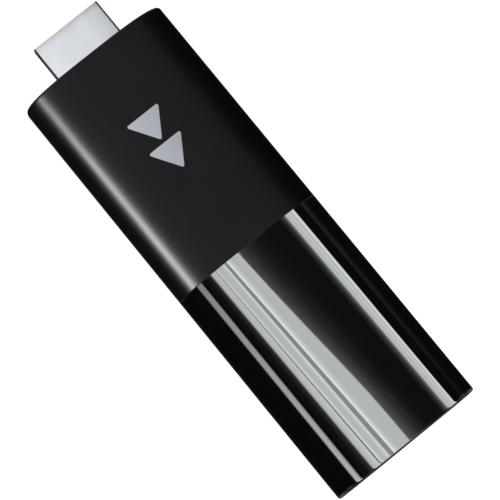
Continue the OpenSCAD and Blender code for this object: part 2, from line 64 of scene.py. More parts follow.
def box_mm(node):
    low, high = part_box(node)
    return [c / MM for c in low], [c / MM for c in high]


GLOSS_LOW, GLOSS_HIGH = box_mm("gloss_sleeve")
MATTE_LOW, MATTE_HIGH = box_mm("matte_sleeve")
_, PLUG_HIGH = box_mm("plug_shell")
USB_LOW, USB_HIGH = box_mm("usb_shell")
PIPE_LOW, PIPE_HIGH = box_mm("light_pipe")
BADGE_LOW, BADGE_HIGH = box_mm("badge_inlay")

HALF_W = GLOSS_HIGH[0]
THICK = GLOSS_HIGH[2]
MID_Z = THICK / 2
Y_TAIL = GLOSS_LOW[1]
Y_SEAM = MATTE_LOW[1]
Y_SHOULDER = MATTE_HIGH[1]
Y_TIP = PLUG_HIGH[1]
Y_LIP = GLOSS_HIGH[1]

# casing, as in the CAD source
FLAT_HALF = 2.5
SIDE_POWER = 2.25
FACE_POWER = 3.15
WALL = 1.3
END_WALL = 1.5
CORNER_ROUND = 0.5
EDGE_ROUND = 0.15
SEAM_ROUND = 0.07
NEAR = 0.012
LIP_GAP = 0.06
LIP_WALL = 0.8
LIP_CHAMFER_L, LIP_CHAMFER = 0.35, 0.2
LIP_INNER_CHAMFER = 0.15
RIM_L = 3.0
RIM_SLOPE = 0.6
FLOOR_FILLET = 0.3
FACE_MARGIN = 0.5

# plug and socket
PLUG_W, PLUG_H, PLUG_SHEET = 13.9, 4.45, 0.3
PLUG_REAR = 6.2
LATCH_X, LATCH_HALF, LATCH_FROM_TIP = 2.6, 0.9, (5.2, 2.9)
FOLD_W, FOLD_DEPTH = 0.1, 0.12
EAR_Y, EAR_L, EAR_T, EAR_Z = 5.35, 1.6, 0.3, (-1.2, 1.7)
LEG_Y, LEG_Z = 9.4, (-0.6, 1.5)
USB_W, USB_H, USB_SHEET = 7.5, 2.45, 0.25
TAB_YS, TAB_L, TAB_Z = (2.2, 4.2), 1.1, (0.5, 0.75)
SLOT_X, SLOT_HALF, SLOT_Y = 1.7, 0.4, (1.6, 3.4)
INTO_SHEET = 0.15
PIPE_HOLE_R = 0.78

# board rails
RAIL_X, RAIL_T, RAIL_Z = 10.9, 0.8, 0.56
RAIL_ROOT = 0.4
RAIL_BITE = 0.2

# badge: two arrowheads in a row
BADGE_LENGTH = 5.6
BADGE_PITCH = 6.1
BADGE_W = 7.2
BADGE_CORNER = 0.32
BADGE_SEAT = 0.35
BADGE_GAP = 0.12
BADGE_Y = (BADGE_LOW[1] + BADGE_HIGH[1]) / 2
BADGE_YS = (BADGE_Y - BADGE_PITCH / 2, BADGE_Y + BADGE_PITCH / 2)


# ---------- outlines ----------

def quarter(side_inset, face_inset, steps=2400):
    """The casing's section from the side to the edge of the flat strip, as (x, z) about the centre plane."""
    a, b = HALF_W - side_inset, MID_Z - face_inset
    points = []
    for i in range(steps + 1):
        t = math.pi / 2 * i / steps
        c, s = max(0.0, math.cos(t)), math.sin(t)
        points.append((FLAT_HALF + (a - FLAT_HALF) * c ** (2 / SIDE_POWER), b * s ** (2 / FACE_POWER)))
    return points


def spread(points, count):
    """The same line with count + 1 points a steady step apart."""
    lengths = [0.0]
    for p, q in zip(points, points[1:]):
        lengths.append(lengths[-1] + math.dist(p, q))
    out, k = [], 0
    for i in range(count + 1):
        want = lengths[-1] * i / count
        while k < len(points) - 2 and lengths[k + 1] < want:
            k += 1
        step = lengths[k + 1] - lengths[k]
        f = 0.0 if step == 0 else (want - lengths[k]) / step
        out.append(tuple(p + (q - p) * f for p, q in zip(points[k], points[k + 1])))
    return out


def casing_section(inset, face_inset=None, count=72, flat_count=6):
    """Closed outline of the casing's section, taken in by inset, or by two, at the sides and the faces."""
    q = spread(quarter(inset, inset if face_inset is None else face_inset), count)
    top = [(FLAT_HALF * (1 - 2 * i / flat_count), q[-1][1]) for i in range(1, flat_count)]
    upper = q + top + [(-x, z) for x, z in reversed(q)]
    lower = [(-x, -z) for x, z in upper]
    return upper[:-1] + lower[:-1]


def rounded(points, radii, steps=6):
    """A polygon with each corner replaced by an arc of its radius."""
    out = []
    n = len(points)
    for i, (p, r) in enumerate(zip(points, radii)):
        p = Vector(p)
        a = (Vector(points[i - 1]) - p).normalized()
        b = (Vector(points[(i + 1) % n]) - p).normalized()
        half = a.angle(b) / 2
        reach = r / math.tan(half)
        centre = p + (a + b).normalized() * r / math.sin(half)
        start, end = p + a * reach - centre, p + b * reach - centre
        turn = start.angle_signed(end)
        for k in range(steps + 1):
            out.append(tuple(centre + Matrix.Rotation(-turn * k / steps, 2) @ start))
    return out


def socket_outline(w, h, shoulder_x, shoulder_z, top_r, low_r):
    """A socket's outline: square at the top, tapered at the bottom."""
    x, z = w / 2, h / 2
    corners = [(x, z), (-x, z), (-x, -z + shoulder_z), (-x + shoulder_x, -z), (x - shoulder_x, -z),
               (x, -z + shoulder_z)]
    return rounded(corners, [top_r, top_r, low_r, low_r, low_r, low_r])


def plug_outline(grow):
    return socket_outline(PLUG_W + 2 * grow, PLUG_H + 2 * grow, 1.25 + 0.4 * grow, 1.55 + 0.4 * grow,
                          max(0.12, 0.42 + grow), max(0.2, 0.6 + grow))


def usb_outline(grow):
    return socket_outline(USB_W + 2 * grow, USB_H + 2 * grow, 0.8 + 0.4 * grow, 0.8 + 0.4 * grow,
                          max(0.1, 0.35 + grow), max(0.12, 0.4 + grow))


# ---------- mesh helpers ----------

def new_object(name, bm):
    mesh = bpy.data.meshes.new(name)
    bmesh.ops.recalc_face_normals(bm, faces=bm.faces)
    bm.to_mesh(mesh)
    bm.free()
    obj = bpy.data.objects.new(name, mesh)
    bpy.context.scene.collection.objects.link(obj)
    return obj


def loft(name, rings, capped=True, closed=False):
    """A solid through rings of equal length, each a list of (x, y, z) in millimetres."""
    bm = bmesh.new()
    made = [[bm.verts.new([c * MM for c in p]) for p in ring] for ring in rings]
    pairs = list(zip(made, made[1:]))
    if closed:
        pairs.append((made[-1], made[0]))
    for r0, r1 in pairs:
        for i in range(len(r0)):
            j = (i + 1) % len(r0)
            bm.faces.new((r0[i], r0[j], r1[j], r1[i]))
    if capped:
        bm.faces.new(made[0])
        bm.faces.new(list(reversed(made[-1])))
    return new_object(name, bm)


def ring(outline, y):
    return [(x, y, z + MID_Z) for x, z in outline]


def prism(name, low, high, bevel=0.0):
    """A box between two corners, with its edges rounded."""
    bm = bmesh.new()
    bmesh.ops.create_cube(bm, size=1)
    size = [b - a for a, b in zip(low, high)]
    for v in bm.verts:
        v.co = Vector([(a + s * (c + 0.5)) * MM for a, s, c in zip(low, size, v.co)])
    if bevel:
        bmesh.ops.bevel(bm, geom=bm.edges[:], offset=bevel * MM, segments=2, affect="EDGES", profile=0.5)
    return new_object(name, bm)


def bake(obj):
    """Applies the object's modifiers."""
    dg = bpy.context.evaluated_depsgraph_get()
    mesh = bpy.data.meshes.new_from_object(obj.evaluated_get(dg))
    old = obj.data
    obj.modifiers.clear()
    obj.data = mesh
    bpy.data.meshes.remove(old)


def cut(obj, tool, operation="DIFFERENCE"):
    """Subtracts the tool from obj, or adds it, and drops the tool."""
    mod = obj.modifiers.new("cut", "BOOLEAN")
    mod.operation = operation
    mod.solver = "EXACT"
    mod.object = tool
    bake(obj)
    mesh = tool.data
    bpy.data.objects.remove(tool)
    bpy.data.meshes.remove(mesh)


def smooth(obj, angle=35):
    obj.data.shade_smooth()
    obj.data.set_sharp_from_angle(angle=math.radians(angle))


def flatten_shading(obj):
    """Lets large flat faces keep their own shading beside small roundings."""
    mod = obj.modifiers.new("weighted_normals", "WEIGHTED_NORMAL")
    mod.mode = "FACE_AREA"
    mod.weight = 100
    mod.keep_sharp = True


def finish_piece(obj, material, slot, *nodes):
    """Gives a new piece its material, hangs it on the root body and hides the CAD nodes that it replaces."""
    obj.data.materials.clear()
    obj.data.materials.append(material)
    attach(obj, "root")
    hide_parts(*nodes)


# ---------- materials ----------

def material(name):
    """A new node material: returns it with its shader, its nodes and a link function."""
    mat = bpy.data.materials.new(name)
    mat.use_nodes = True
    tree = mat.node_tree
    shader = next(n for n in tree.nodes if n.type == "BSDF_PRINCIPLED")
    return mat, shader, tree.nodes, tree.links.new


def noise(nodes, link, scale, detail=3.0, rough=0.5, stretch=None):
    """Object-space noise, its features about 1 / scale metres across, drawn out by stretch."""
    coords = nodes.new("ShaderNodeTexCoord")
    tex = nodes.new("ShaderNodeTexNoise")
    tex.inputs["Scale"].default_value = scale
    tex.inputs["Detail"].default_value = detail
    tex.inputs["Roughness"].default_value = rough
    if stretch:
        mapping = nodes.new("ShaderNodeMapping")
        mapping.inputs["Scale"].default_value = stretch
        link(coords.outputs["Object"], mapping.inputs["Vector"])
        link(mapping.outputs["Vector"], tex.inputs["Vector"])
    else:
        link(coords.outputs["Object"], tex.inputs["Vector"])
    return tex


def ramp(nodes, link, source, stops):
    """A colour ramp over a source's output; stops are (position, colour)."""
    node = nodes.new("ShaderNodeValToRGB")
    elements = node.color_ramp.elements
    while len(elements) < len(stops):
        elements.new(0.5)
    for e, (position, colour) in zip(elements, stops):
        e.position = position
        e.color = (*colour, 1)
    link(source, node.inputs["Fac"])
    return node


def grey(v):
    return (v, v, v)


def range_of(nodes, link, source, low, high):
    """The source's 0 to 1 carried over to low to high."""
    node = nodes.new("ShaderNodeMapRange")
    node.inputs["To Min"].default_value = low
    node.inputs["To Max"].default_value = high
    link(source, node.inputs["Value"])
    return node.outputs["Result"]


def bump(nodes, link, shader, source, distance, strength=1.0, under=None):
    node = nodes.new("ShaderNodeBump")
    node.inputs["Strength"].default_value = strength
    node.inputs["Distance"].default_value = distance
    link(source, node.inputs["Height"])
    if under:
        link(under.outputs["Normal"], node.inputs["Normal"])
    link(node.outputs["Normal"], shader.inputs["Normal"])
    return node


def matte_casing_material():
    """Black plastic with a fine satin texture."""
    mat, shader, nodes, link = material("matte_casing")
    fine = noise(nodes, link, 9000, detail=2)
    cloud = noise(nodes, link, 140, detail=4)
    tint = ramp(nodes, link, cloud.outputs["Fac"], [(0.3, grey(0.0025)), (0.7, grey(0.0037))])
    link(tint.outputs["Color"], shader.inputs["Base Color"])
    link(range_of(nodes, link, cloud.outputs["Fac"], 0.265, 0.3), shader.inputs["Roughness"])
    bump(nodes, link, shader, fine.outputs["Fac"], 0.000004, 0.35)
    return mat


def gloss_casing_material():
    """Polished black plastic with a trace of moulding waves and handling haze."""
    mat, shader, nodes, link = material("gloss_casing")
    wave = noise(nodes, link, 60, detail=1)
    haze = noise(nodes, link, 500, detail=6, rough=0.7)
    tint = ramp(nodes, link, haze.outputs["Fac"], [(0.35, grey(0.0010)), (0.75, grey(0.0015))])
    link(tint.outputs["Color"], shader.inputs["Base Color"])
    link(range_of(nodes, link, haze.outputs["Fac"], 0.004, 0.022), shader.inputs["Roughness"])
    bump(nodes, link, shader, wave.outputs["Fac"], 0.00002, 0.05)
    return mat


def metal(name, colour, rough, grain=1200, stretch=(1, 0.03, 1), depth=0.000002, spread_rough=0.06):
    """Metal with a fine grain drawn out along one way, and faint tarnish."""
    mat, shader, nodes, link = material(name)
    shader.inputs["Metallic"].default_value = 1.0
    lines = noise(nodes, link, grain, detail=3, stretch=stretch)
    cloud = noise(nodes, link, 220, detail=3)
    dark = tuple(c * 0.93 for c in colour)
    tint = ramp(nodes, link, cloud.outputs["Fac"], [(0.3, dark), (0.7, colour)])
    link(tint.outputs["Color"], shader.inputs["Base Color"])
    link(range_of(nodes, link, lines.outputs["Fac"], rough - spread_rough, rough + spread_rough),
         shader.inputs["Roughness"])
    bump(nodes, link, shader, lines.outputs["Fac"], depth, 0.4)
    return mat


def plastic(name, colour, rough, grain=4000, depth=0.000004, vary=0.15):
    """Moulded plastic, rubber or ceramic: uneven colour and a fine grain."""
    mat, shader, nodes, link = material(name)
    fine = noise(nodes, link, grain, detail=3)
    cloud = noise(nodes, link, 260, detail=4)
    dark = tuple(c * (1 - vary) for c in colour)
    light = tuple(min(1.0, c * (1 + vary)) for c in colour)
    tint = ramp(nodes, link, cloud.outputs["Fac"], [(0.3, dark), (0.7, light)])
    link(tint.outputs["Color"], shader.inputs["Base Color"])
    link(range_of(nodes, link, fine.outputs["Fac"], rough - 0.05, rough + 0.05), shader.inputs["Roughness"])
    bump(nodes, link, shader, fine.outputs["Fac"], depth, 0.5)
    return mat


def board_material():
    """Solder mask over a net of copper tracks."""
    mat, shader, nodes, link = material("circuit_board")
    coords = nodes.new("ShaderNodeTexCoord")
    cells = nodes.new("ShaderNodeTexBrick")
    cells.inputs["Scale"].default_value = 900
    cells.inputs["Mortar Size"].default_value = 0.03
    cells.inputs["Color1"].default_value = (0.012, 0.085, 0.05, 1)
    cells.inputs["Color2"].default_value = (0.01, 0.07, 0.045, 1)
    cells.inputs["Mortar"].default_value = (0.03, 0.16, 0.09, 1)
    link(coords.outputs["Object"], cells.inputs["Vector"])
    link(cells.outputs["Color"], shader.inputs["Base Color"])
    fine = noise(nodes, link, 1500, detail=2)
    link(range_of(nodes, link, fine.outputs["Fac"], 0.25, 0.38), shader.inputs["Roughness"])
    bump(nodes, link, shader, cells.outputs["Fac"], 0.00001, 0.4)
    return mat


def foam_material(name, colour):
    """Open-cell foam; each cell is a hollow in the bump, darkened towards its bottom as painted shade."""
    mat, shader, nodes, link = material(name)
    coords = nodes.new("ShaderNodeTexCoord")
    cells = nodes.new("ShaderNodeTexVoronoi")
    cells.inputs["Scale"].default_value = 4500
    link(coords.outputs["Object"], cells.inputs["Vector"])
    # painted shade: the colour darkens towards each cell's centre, where the bump sinks into a hollow
    dark = tuple(c * 0.6 for c in colour)
    tint = ramp(nodes, link, cells.outputs["Distance"], [(0.1, dark), (0.6, colour)])
    link(tint.outputs["Color"], shader.inputs["Base Color"])
    shader.inputs["Roughness"].default_value = 0.85
    bump(nodes, link, shader, cells.outputs["Distance"], 0.00005, 0.6)
    return mat


def clear_material():
    """Cloudy clear plastic."""
    mat, shader, nodes, link = material("clear_plastic")
    shader.inputs["Transmission Weight"].default_value = 0.9
    shader.inputs["IOR"].default_value = 1.49
    cloud = noise(nodes, link, 700, detail=3)
    tint = ramp(nodes, link, cloud.outputs["Fac"], [(0.3, (0.82, 0.86, 0.9)), (0.7, (0.93, 0.95, 0.97))])
    link(tint.outputs["Color"], shader.inputs["Base Color"])
    link(range_of(nodes, link, cloud.outputs["Fac"], 0.38, 0.5), shader.inputs["Roughness"])
    return mat


MATERIALS = {
    "matte_casing": matte_casing_material(),
    "gloss_casing": gloss_casing_material(),
    "badge_metal": metal("badge_metal", (0.47, 0.495, 0.525), 0.34, grain=2500),
    "plug_steel": metal("plug_steel", (0.8, 0.815, 0.84), 0.24),
    "black_plastic": plastic("black_plastic", (0.012, 0.012, 0.013), 0.42),
    "grey_plastic": plastic("grey_plastic", (0.07, 0.07, 0.075), 0.5),
    "gold_contacts": metal("gold_contacts", (0.86, 0.6, 0.24), 0.22, grain=3000),
    "foam": foam_material("foam", (0.06, 0.06, 0.065)),
    "circuit_board": board_material(),
    "chip_package": plastic("chip_package", (0.022, 0.022, 0.024), 0.55, grain=6000),
    "capacitor_ceramic": plastic("capacitor_ceramic", (0.42, 0.29, 0.17), 0.4),
    "inductor_ferrite": plastic("inductor_ferrite", (0.1, 0.1, 0.11), 0.6, grain=3000),
    "resistor_body": plastic("resistor_body", (0.015, 0.015, 0.017), 0.3),
    "shield_steel": metal("shield_steel", (0.66, 0.67, 0.68), 0.36),
    "thermal_pad": plastic("thermal_pad", (0.32, 0.42, 0.56), 0.75, grain=1800, depth=0.00001),
    "spreader_metal": metal("spreader_metal", (0.7, 0.71, 0.73), 0.32, grain=900, stretch=(0.03, 1, 1)),
    "screw_steel": metal("screw_steel", (0.16, 0.16, 0.17), 0.35, grain=2500, stretch=None),
    "antenna_metal": metal("antenna_metal", (0.72, 0.6, 0.34), 0.28),
    "clear_plastic": clear_material(),
    "led_body": plastic("led_body", (0.75, 0.75, 0.68), 0.25),
}


# ---------- the two sleeves ----------

def rounding(r, s):
    """How far a rounding of radius r has drawn the surface in at a distance s from the end."""
    return r - math.sqrt(r * r - (r - s) ** 2) if s < r else 0.0


def closed_end_rings(y_face, inward):
    """Rings over the closed end: a flat margin, then the rounded edge out to the full section."""
    steps = 8
    stations = [EDGE_ROUND * (1 - math.cos(math.pi / 2 * i / steps)) for i in range(1, steps + 1)]
    stations += [EDGE_ROUND + NEAR]
    stations += [EDGE_ROUND + (CORNER_ROUND - EDGE_ROUND) * i / steps for i in range(1, steps + 1)]
    stations += [CORNER_ROUND + NEAR]
    rings = [ring(casing_section(CORNER_ROUND + m, EDGE_ROUND + m), y_face) for m in (FACE_MARGIN, NEAR, 0.0)]
    for d in stations:
        outline = casing_section(rounding(CORNER_ROUND, d), rounding(EDGE_ROUND, d))
        rings.append(ring(outline, y_face + inward * d))
    return rings


def side_rings(y0, y1, count):
    return [ring(casing_section(0), y0 + (y1 - y0) * i / count) for i in range(1, count)]


def open_end_rings(y_edge, inward):
    """Rings round the open edge, from the side to the wall's inner face."""
    rings = [ring(casing_section(0), y_edge + inward * (SEAM_ROUND + NEAR))]
    steps = 4
    for i in range(steps + 1):
        t = math.pi / 2 * i / steps
        y = y_edge + inward * SEAM_ROUND * (1 - math.sin(t))
        rings.append(ring(casing_section(SEAM_ROUND * (1 - math.cos(t))), y))
    rings.append(ring(casing_section(SEAM_ROUND + NEAR), y_edge))
    return rings


def add_rails(obj, y0, y1):
    """Two ribs a side that hold the board's edges."""
    reach = HALF_W - WALL + RAIL_ROOT
    for sx in (-1, 1):
        for sz in (-1, 1):
            xs = sorted((sx * RAIL_X, sx * reach))
            zs = sorted((sz * RAIL_Z, sz * (RAIL_Z + RAIL_T)))
            cut(obj, prism("rail", (xs[0], y0, MID_Z + zs[0]), (xs[1], y1, MID_Z + zs[1]), 0.1), "UNION")


def opening_tool(outline, y_face, inward, depth, gap, flare=0.16):
    """A cutter through an end wall whose mouth is flared by a small rounding."""
    clear = 0.3
    rings = [ring(outline(gap + flare + clear), y_face - inward * clear)]
    steps = 5
    for i in range(steps + 1):
        t = math.pi / 2 * i / steps
        y = y_face + inward * flare * (1 - math.cos(t))
        rings.append(ring(outline(gap + flare * (1 - math.sin(t))), y))
    rings.append(ring(outline(gap), y_face + inward * depth))
    return loft("opening", rings)


def build_gloss_sleeve():
    """The sleeve at the tail, with the lip that enters the other sleeve."""
    lip_outer = WALL + LIP_GAP
    lip_inner = lip_outer + LIP_WALL
    y_rim = Y_SEAM - RIM_L
    rings = closed_end_rings(Y_TAIL, 1)
    rings += side_rings(Y_TAIL + CORNER_ROUND, Y_SEAM - SEAM_ROUND, 24)
    rings += open_end_rings(Y_SEAM, -1)
    rings += [ring(casing_section(inset), y) for inset, y in (
        (lip_outer, Y_SEAM), (lip_outer, Y_LIP - LIP_CHAMFER_L), (lip_outer + LIP_CHAMFER, Y_LIP),
        (lip_inner - LIP_INNER_CHAMFER, Y_LIP), (lip_inner, Y_LIP - LIP_INNER_CHAMFER), (lip_inner, y_rim),
        (WALL + 0.02, y_rim - RIM_SLOPE + 0.1), (WALL, y_rim - RIM_SLOPE),
        (WALL, Y_TAIL + END_WALL + FLOOR_FILLET), (WALL + FLOOR_FILLET, Y_TAIL + END_WALL))]
    obj = loft("gloss_sleeve_shell", rings)
    add_rails(obj, Y_TAIL + END_WALL - RAIL_BITE, y_rim + RAIL_BITE)
    cut(obj, opening_tool(usb_outline, Y_TAIL, 1, END_WALL + 1, 0.2))
    pipe_x = (PIPE_LOW[0] + PIPE_HIGH[0]) / 2
    pipe_z = (PIPE_LOW[2] + PIPE_HIGH[2]) / 2 - MID_Z

    def pipe_outline(grow):
        r = PIPE_HOLE_R + grow
        turns = [math.tau * i / 48 for i in range(48)]
        return [(pipe_x + r * math.cos(t), pipe_z + r * math.sin(t)) for t in turns]

    cut(obj, opening_tool(pipe_outline, Y_TAIL, 1, END_WALL + 1, 0.0, flare=0.1))
    smooth(obj)
    flatten_shading(obj)
    finish_piece(obj, MATERIALS["gloss_casing"], "gloss_casing", "gloss_sleeve")
    return obj


def arrowheads(name, y0_list, w, length, z0, z1, corner_r, edge=0.0):
    """Triangles pointing to the tail, one at each y, as one mesh, with rounded corners and top edges."""
    bm = bmesh.new()
    for y in y0_list:
        corners = [(0, y - length / 2), (w / 2, y + length / 2), (-w / 2, y + length / 2)]
        outline = rounded(corners, [corner_r] * 3, steps=8)
        centre = Vector((0, y + length / 6))
        levels = [(z0, 0.0), (z1 - edge, 0.0)]
        if edge:
            turns = [math.pi / 8 * k for k in (1, 2, 3, 4)]
            levels += [(z1 - edge * (1 - math.sin(t)), edge * (1 - math.cos(t))) for t in turns]
        made = []
        for z, inset in levels:
            shrink = 1 - inset / (length / 3)
            level = [centre + (Vector(p) - centre) * shrink for p in outline]
            made.append([bm.verts.new((p.x * MM, p.y * MM, z * MM)) for p in level])
        for r0, r1 in zip(made, made[1:]):
            for i in range(len(r0)):
                j = (i + 1) % len(r0)
                bm.faces.new((r0[i], r0[j], r1[j], r1[i]))
        bm.faces.new(made[0])
        bm.faces.new(list(reversed(made[-1])))
    return new_object(name, bm)


def build_matte_sleeve():
    """The sleeve round the plug, with the seat for the badge."""
    rings = closed_end_rings(Y_SHOULDER, -1)
    rings += side_rings(Y_SHOULDER - CORNER_ROUND, Y_SEAM + SEAM_ROUND, 24)
    rings += open_end_rings(Y_SEAM, 1)
    rings += [ring(casing_section(inset), y) for inset, y in (
        (WALL - 0.1, Y_SEAM), (WALL, Y_SEAM + 0.1), (WALL, Y_SHOULDER - END_WALL - FLOOR_FILLET),
        (WALL + FLOOR_FILLET, Y_SHOULDER - END_WALL))]
    obj = loft("matte_sleeve_shell", rings)
    add_rails(obj, Y_LIP + 0.5, Y_SHOULDER - 5.3)
    cut(obj, opening_tool(plug_outline, Y_SHOULDER, -1, END_WALL + 1, 0.1, flare=0.12))
    cut(obj, arrowheads("badge_seat", BADGE_YS, BADGE_W + BADGE_GAP, BADGE_LENGTH + BADGE_GAP,
                        THICK - BADGE_SEAT, THICK + 1, BADGE_CORNER + 0.05))
    smooth(obj)
    flatten_shading(obj)
    finish_piece(obj, MATERIALS["matte_casing"], "matte_casing", "matte_sleeve")
    return obj


def build_badge():
    obj = arrowheads("badge_arrows", BADGE_YS, BADGE_W, BADGE_LENGTH, BADGE_LOW[2], BADGE_HIGH[2],
                     BADGE_CORNER, edge=0.06)
    smooth(obj)
    finish_piece(obj, MATERIALS["badge_metal"], "badge_metal", "badge_inlay")


# ---------- plug and socket shells ----------

def tube_shell(name, outline, sheet, y_rear, y_mouth, outward):
    """A folded sheet-metal tube, its mouth edge rounded over."""
    steps = 8
    rings = [ring(outline(0), y_rear), ring(outline(0), y_rear + outward * 0.3)]
    span = abs(y_mouth - y_rear)
    rings += [ring(outline(0), y_rear + outward * span * i / steps) for i in range(1, steps)]
    r = sheet / 2
    for i in range(steps + 1):
        t = math.pi * i / steps
        rings.append(ring(outline(-r + r * math.cos(t)), y_mouth - outward * r * (1 - math.sin(t))))
    rings.append(ring(outline(-sheet), y_rear))
    return loft(name, rings, capped=False, closed=True)


def build_plug_shell():
    rear = Y_SHOULDER - PLUG_REAR
    half = PLUG_W / 2
    obj = tube_shell("plug_shell_sheet", plug_outline, PLUG_SHEET, rear, Y_TIP, 1)
    for x in (-LATCH_X, LATCH_X):
        cut(obj, prism("latch", (x - LATCH_HALF, Y_TIP - LATCH_FROM_TIP[0], 0),
                       (x + LATCH_HALF, Y_TIP - LATCH_FROM_TIP[1], MID_Z - 1), 0.15))
    # the fold's seam along the back
    cut(obj, prism("seam", (-FOLD_W / 2, rear - 1, 0),
                   (FOLD_W / 2, Y_TIP + 1, MID_Z - PLUG_H / 2 + FOLD_DEPTH)))
    ear_y = Y_SHOULDER - EAR_Y
    for s in (-1, 1):
        xs = sorted((s * (half - INTO_SHEET), s * (half + EAR_L)))
        ear = prism("ear", (xs[0], ear_y, MID_Z + EAR_Z[0]), (xs[1], ear_y + EAR_T, MID_Z + EAR_Z[1]), 0.08)
        cut(obj, ear, "UNION")
        xs = sorted((s * (half - PLUG_SHEET), s * half))
        leg_y = Y_SHOULDER - LEG_Y
        leg = prism("leg", (xs[0], leg_y, MID_Z + LEG_Z[0]), (xs[1], rear + 1, MID_Z + LEG_Z[1]), 0.08)
        cut(obj, leg, "UNION")
    smooth(obj)
    finish_piece(obj, MATERIALS["plug_steel"], "plug_steel", "plug_shell")


def build_usb_shell():
    y0, y1 = USB_LOW[1], USB_HIGH[1]
    half = USB_W / 2
    obj = tube_shell("usb_shell_sheet", usb_outline, USB_SHEET, y1, y0, -1)
    # tabs soldered to the board
    for y in (y0 + TAB_YS[0], y0 + TAB_YS[1]):
        for s in (-1, 1):
            xs = sorted((s * (half - INTO_SHEET), s * (half + TAB_L)))
            tab = prism("tab", (xs[0], y, MID_Z + TAB_Z[0]), (xs[1], y + TAB_L, MID_Z + TAB_Z[1]), 0.06)
            cut(obj, tab, "UNION")
    # slots whose springs grip the cord's plug
    for x in (-SLOT_X, SLOT_X):
        cut(obj, prism("slot", (x - SLOT_HALF, y0 + SLOT_Y[0], MID_Z + 0.9),
                       (x + SLOT_HALF, y0 + SLOT_Y[1], THICK), 0.1))
    smooth(obj)
    finish_piece(obj, MATERIALS["plug_steel"], "plug_steel", "usb_shell")


# ---------- CAD nodes carried over ----------

BEVEL_MM = {
    "processor": 0.08, "power_manager": 0.06, "memory_chips": 0.08, "flash_chip": 0.08, "crystal": 0.12,
    "radio_can": 0.15, "power_inductors": 0.15, "ceramic_capacitors": 0.05, "chip_resistors": 0.04,
    "surge_arrays": 0.04, "status_led": 0.06, "shield_lid_front": 0.06, "shield_lid_rear": 0.06,
    "spreader_front": 0.12, "spreader_rear": 0.12, "processor_pad": 0.1, "memory_pads": 0.1,
    "spreader_pad_front": 0.15, "spreader_pad_rear": 0.15, "wifi_antenna": 0.05, "bluetooth_antenna": 0.05,
    "plug_insulator": 0.03, "usb_insulator": 0.05, "plug_contacts_upper": 0.03, "plug_contacts_lower": 0.03,
    "usb_contacts": 0.03, "plug_tail_covers": 0.05, "plug_bulkhead": 0.1,
}


def dress_nodes():
    """Gives every CAD node its material, and rounds the edges of the ones that stay in view."""
    slots = {s["node"]: s["material_slot"] for s in frame["record"]["subparts"]}
    for name, obj in frame["nodes"].items():
        for place in obj.material_slots:
            place.material = MATERIALS[slots[name]]
        if name in BEVEL_MM:
            weld = obj.modifiers.new("weld", "WELD")
            weld.merge_threshold = 1e-6
            edge = obj.modifiers.new("bevel", "BEVEL")
            edge.width = BEVEL_MM[name] * MM
            edge.segments = 2
            edge.limit_method = "ANGLE"
            edge.angle_limit = math.radians(40)
            edge.use_clamp_overlap = True


# ---------- camera ----------

PITCH = 0.1101
YAW = 0.0877
ROLL_COS, ROLL_SIN = 0.77392, 0.63329
DISTANCE_MM = 449.9
LENS_MM = 188.55
TARGET_MM = (0.34, -3.88, MID_Z)


def camera_axes():
    """The direction from the stick to the camera, and the picture's right and up."""
    back = Vector((-math.sin(YAW), -math.sin(PITCH) * math.cos(YAW), math.cos(PITCH) * math.cos(YAW)))
    across = Vector((0, 1, 0)).cross(back).normalized()
    along = back.cross(across)
    right = across * ROLL_COS - along * ROLL_SIN
    up = across * ROLL_SIN + along * ROLL_COS
    return back, right, up


def build_camera():
    """A long lens above the front, the stick's plug to the picture's upper left."""
    back, right, up = camera_axes()
    data = bpy.data.cameras.new("camera")
    data.sensor_width = 36
    data.lens = LENS_MM
    data.clip_start, data.clip_end = 0.01, 10
    cam = bpy.data.objects.new("camera", data)
    bpy.context.scene.collection.objects.link(cam)
    place = Matrix((right, up, back)).transposed().to_4x4()
    place.translation = (Vector(TARGET_MM) + back * DISTANCE_MM) * MM
    cam.matrix_world = place
    bpy.context.scene.camera = cam


# ---------- light panels ----------

PANEL_DISTANCE_MM = 350
SWELL_PEAK = 27 / 256                # the largest value of t ** 3 * (1 - t)


def front_point(x, y):
    """A point on the casing's front at x, y and its outward normal, in millimetres."""
    s = math.copysign(1, x)
    c = max(0.0, (abs(x) - FLAT_HALF) / (HALF_W - FLAT_HALF))
    h = (1 - c ** SIDE_POWER) ** (1 / FACE_POWER)
    slope_x = s * SIDE_POWER * c ** (SIDE_POWER - 1) / (HALF_W - FLAT_HALF)
    slope_z = FACE_POWER * h ** (FACE_POWER - 1) / MID_Z
    return Vector((x, y, MID_Z + MID_Z * h)), Vector((slope_x, 0, slope_z)).normalized()


def seen_in(x, y, eye):
    """Where a panel point must be for the camera to see it mirrored at x, y on the casing's front."""
    p, n = front_point(x, y)
    ray = (p - eye).normalized()
    return p + ray.reflect(n) * PANEL_DISTANCE_MM


def emission_material(name, strength, tint=(1, 1, 1)):
    mat = bpy.data.materials.new(name)
    mat.use_nodes = True
    nodes, link = mat.node_tree.nodes, mat.node_tree.links.new
    nodes.clear()
    level = nodes.new("ShaderNodeAttribute")
    level.attribute_name = "level"
    gain = nodes.new("ShaderNodeMath")
    gain.operation = "MULTIPLY"
    gain.inputs[1].default_value = strength
    glow = nodes.new("ShaderNodeEmission")
    glow.inputs["Color"].default_value = (*tint, 1)
    clear = nodes.new("ShaderNodeBsdfTransparent")
    both = nodes.new("ShaderNodeAddShader")
    out = nodes.new("ShaderNodeOutputMaterial")
    link(level.outputs["Fac"], gain.inputs[0])
    link(gain.outputs["Value"], glow.inputs["Strength"])
    link(glow.outputs["Emission"], both.inputs[0])
    link(clear.outputs["BSDF"], both.inputs[1])
    link(both.outputs["Shader"], out.inputs["Surface"])
    return mat


